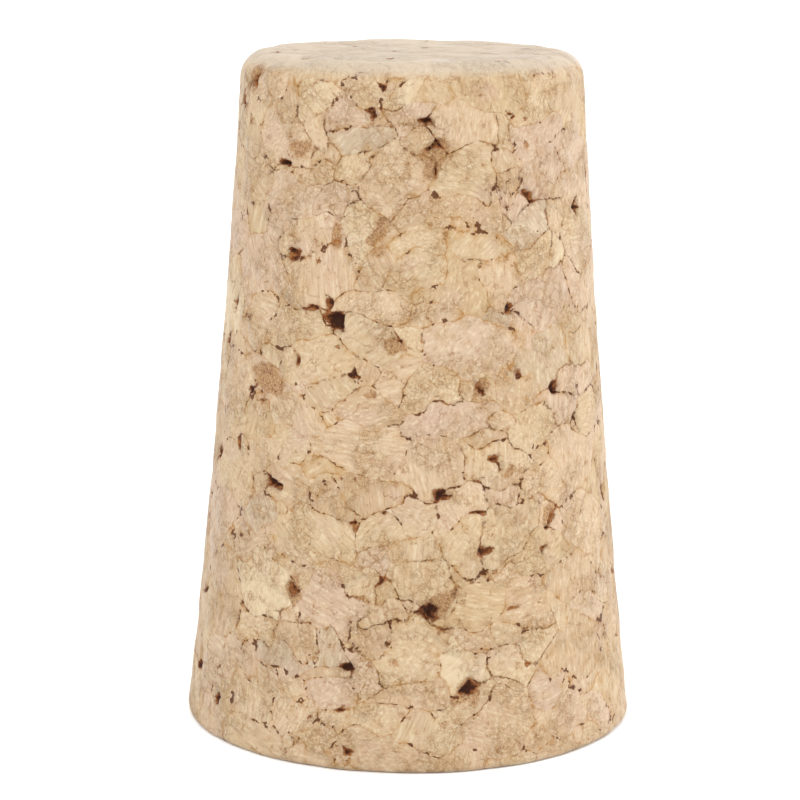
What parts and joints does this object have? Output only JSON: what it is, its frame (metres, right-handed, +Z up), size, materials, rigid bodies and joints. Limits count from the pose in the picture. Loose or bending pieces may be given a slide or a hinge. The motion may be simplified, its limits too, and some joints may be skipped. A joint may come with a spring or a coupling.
{
  "type": "cork stopper",
  "caption": "Tapered round stopper of agglomerated cork with a rounded narrow rim, standing on its wide end.",
  "frame": {"origin": "centre of the wide end face, which the stopper stands on", "axes": "+Z up the stopper's axis towards the narrow end, -Y the side with the largest void, +X to its right"},
  "size_m": [0.0298, 0.0298, 0.0445],
  "materials": {
    "agglomerated_cork": "dry, matt, ground cork granulate with open voids"
  },
  "bodies": {
    "root": {"cork_stopper": "agglomerated_cork"}
  },
  "joints": []
}
